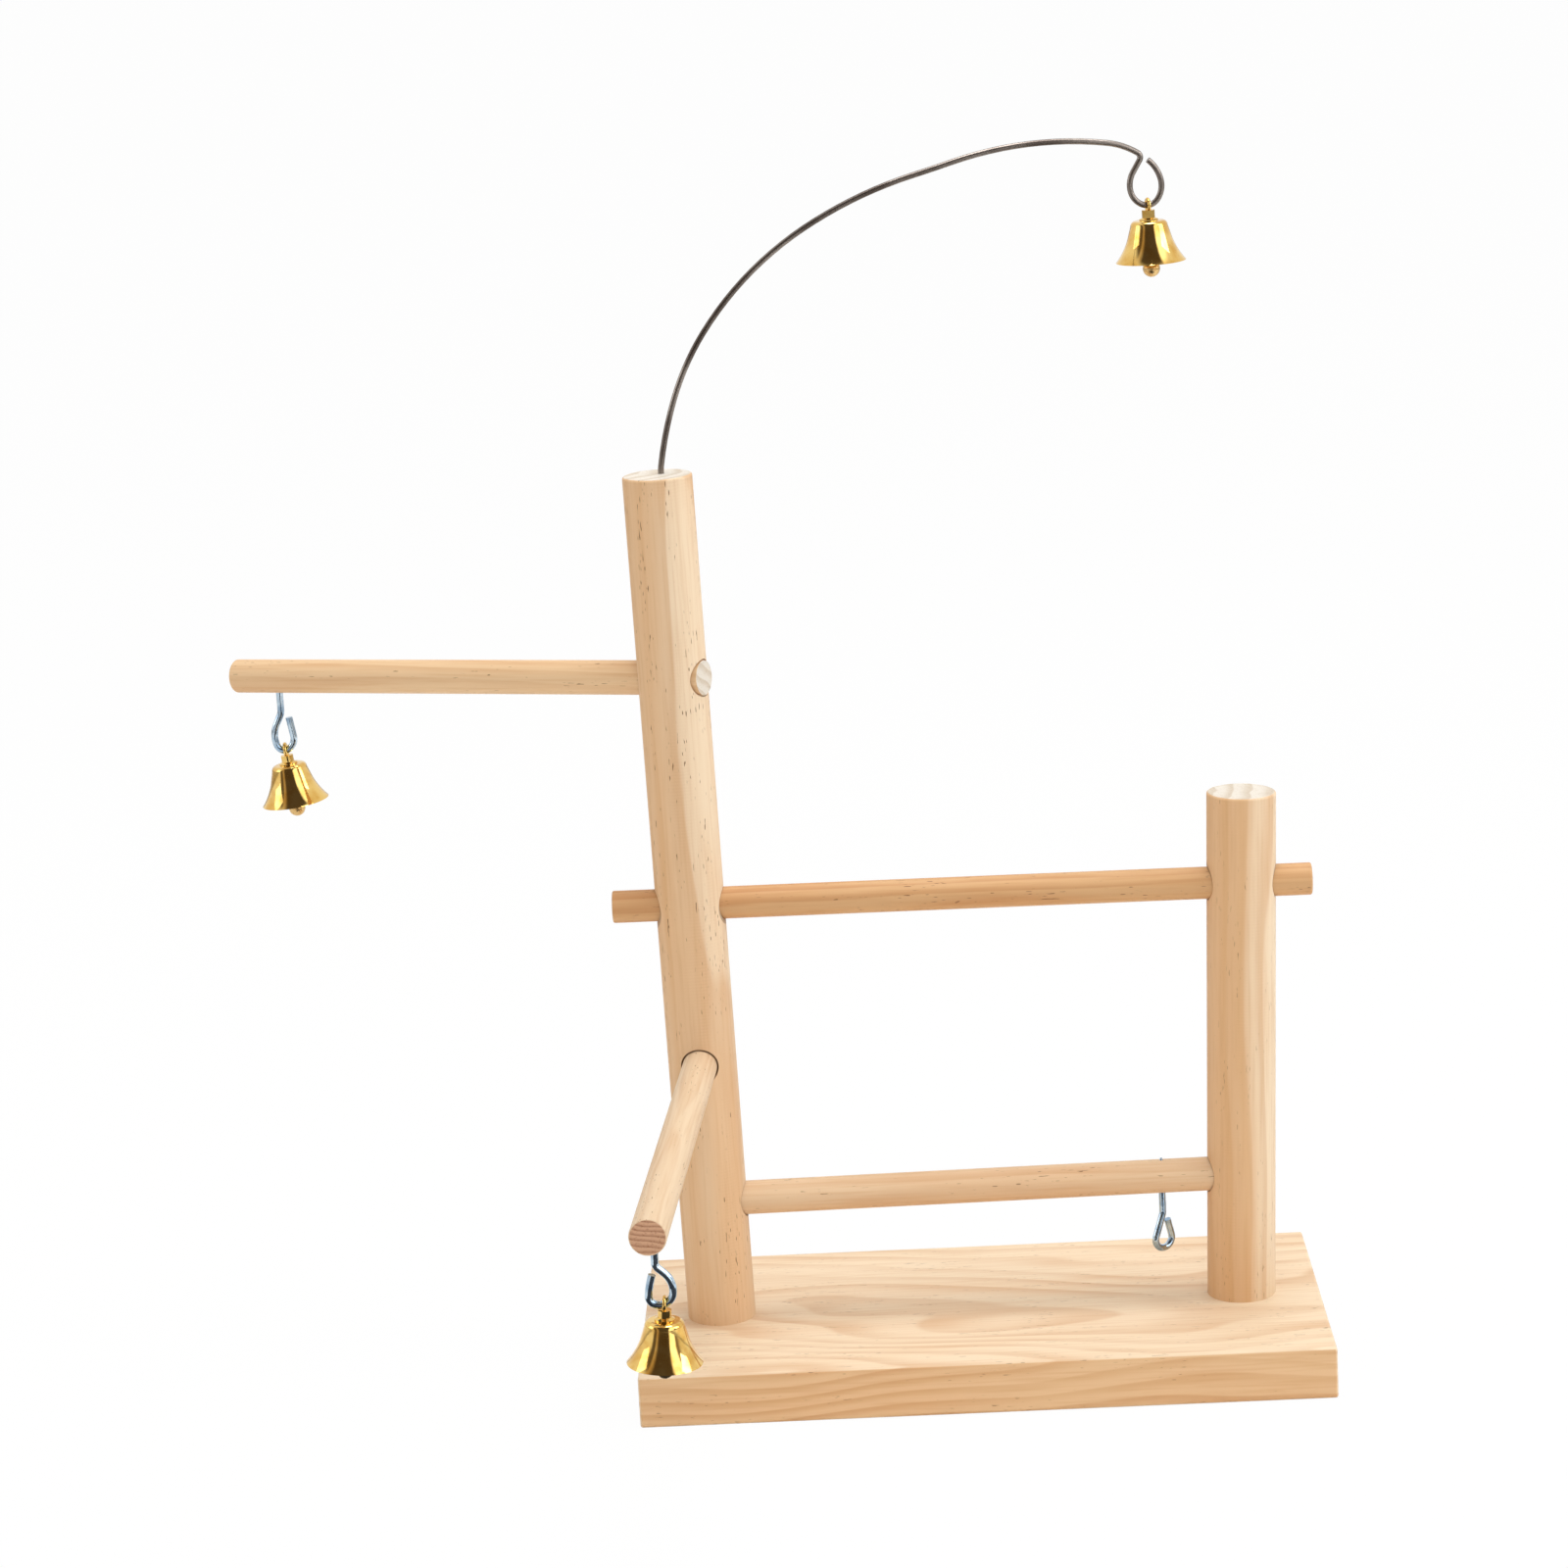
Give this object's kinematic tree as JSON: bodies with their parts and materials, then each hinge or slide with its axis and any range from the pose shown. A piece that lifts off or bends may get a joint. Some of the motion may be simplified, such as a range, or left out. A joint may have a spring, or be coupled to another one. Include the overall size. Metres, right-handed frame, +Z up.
{
  "type": "parrot play stand",
  "caption": "Tabletop bird play stand: pine board, two round posts, crossbars, two perches and an arched wire, with hanging brass bells.",
  "frame": {"origin": "centre of the board's underside", "axes": "+Z up, +X along the board from the tall post to the short post, -Y the side the front perch points to"},
  "size_m": [0.397, 0.288, 0.4433],
  "materials": {
    "pine": "sanded, unfinished",
    "zinc_steel": "bright zinc plate",
    "spring_steel": "drawn, dark",
    "screw_steel": "zinc plate",
    "brass": "polished"
  },
  "bodies": {
    "stand": {"base_board": "pine", "tall_post": "pine", "short_post": "pine", "upper_crossbar": "pine", "lower_crossbar": "pine", "left_perch": "pine", "front_perch": "pine", "tall_post_screw": "screw_steel", "short_post_screw": "screw_steel", "left_screw_eye": "zinc_steel", "front_screw_eye": "zinc_steel", "lower_screw_eye": "zinc_steel"},
    "wire_arm": {"wire_arm": "spring_steel"},
    "left_bell": {"left_bell_shell": "brass", "left_bell_hanger": "brass"},
    "left_clapper": {"left_clapper_wire": "brass", "left_clapper_ball": "brass"},
    "front_bell": {"front_bell_shell": "brass", "front_bell_hanger": "brass"},
    "front_clapper": {"front_clapper_wire": "brass", "front_clapper_ball": "brass"},
    "wire_bell": {"wire_bell_shell": "brass", "wire_bell_hanger": "brass"},
    "wire_clapper": {"wire_clapper_wire": "brass", "wire_clapper_ball": "brass"}
  },
  "joints": [
    {"name": "wire_arm_turn", "type": "hinge", "parent": "stand", "child": "wire_arm", "pos_m": [-0.10085, 0.00319, 0.33464], "axis": [-0.0186, -0.0033, 0.9998], "continuous": true},
    {"name": "left_bell_swing", "type": "hinge", "parent": "stand", "child": "left_bell", "pos_m": [-0.25165, 0.07047, 0.22531], "axis": [0.9936, 0, 0.1132], "range_deg": [-75, 75]},
    {"name": "left_clapper_swing", "type": "hinge", "parent": "left_bell", "child": "left_clapper", "pos_m": [-0.25058, 0.07047, 0.21597], "axis": [0.9936, 0, 0.1132], "range_deg": [-34, 34]},
    {"name": "front_bell_swing", "type": "hinge", "parent": "stand", "child": "front_bell", "pos_m": [-0.10609, -0.18773, 0.0929], "axis": [0.9989, 0, -0.0471], "range_deg": [-75, 75]},
    {"name": "front_clapper_swing", "type": "hinge", "parent": "front_bell", "child": "front_clapper", "pos_m": [-0.10653, -0.18773, 0.08351], "axis": [0.9989, 0, -0.0471], "range_deg": [-34, 34]},
    {"name": "wire_bell_swing", "type": "hinge", "parent": "wire_arm", "child": "wire_bell", "pos_m": [0.07674, 0.0345, 0.41761], "axis": [0.9845, 0.1736, 0.0262], "range_deg": [-75, 75]},
    {"name": "wire_clapper_swing", "type": "hinge", "parent": "wire_bell", "child": "wire_clapper", "pos_m": [0.07699, 0.03454, 0.40821], "axis": [0.9845, 0.1736, 0.0262], "range_deg": [-34, 34]}
  ]
}
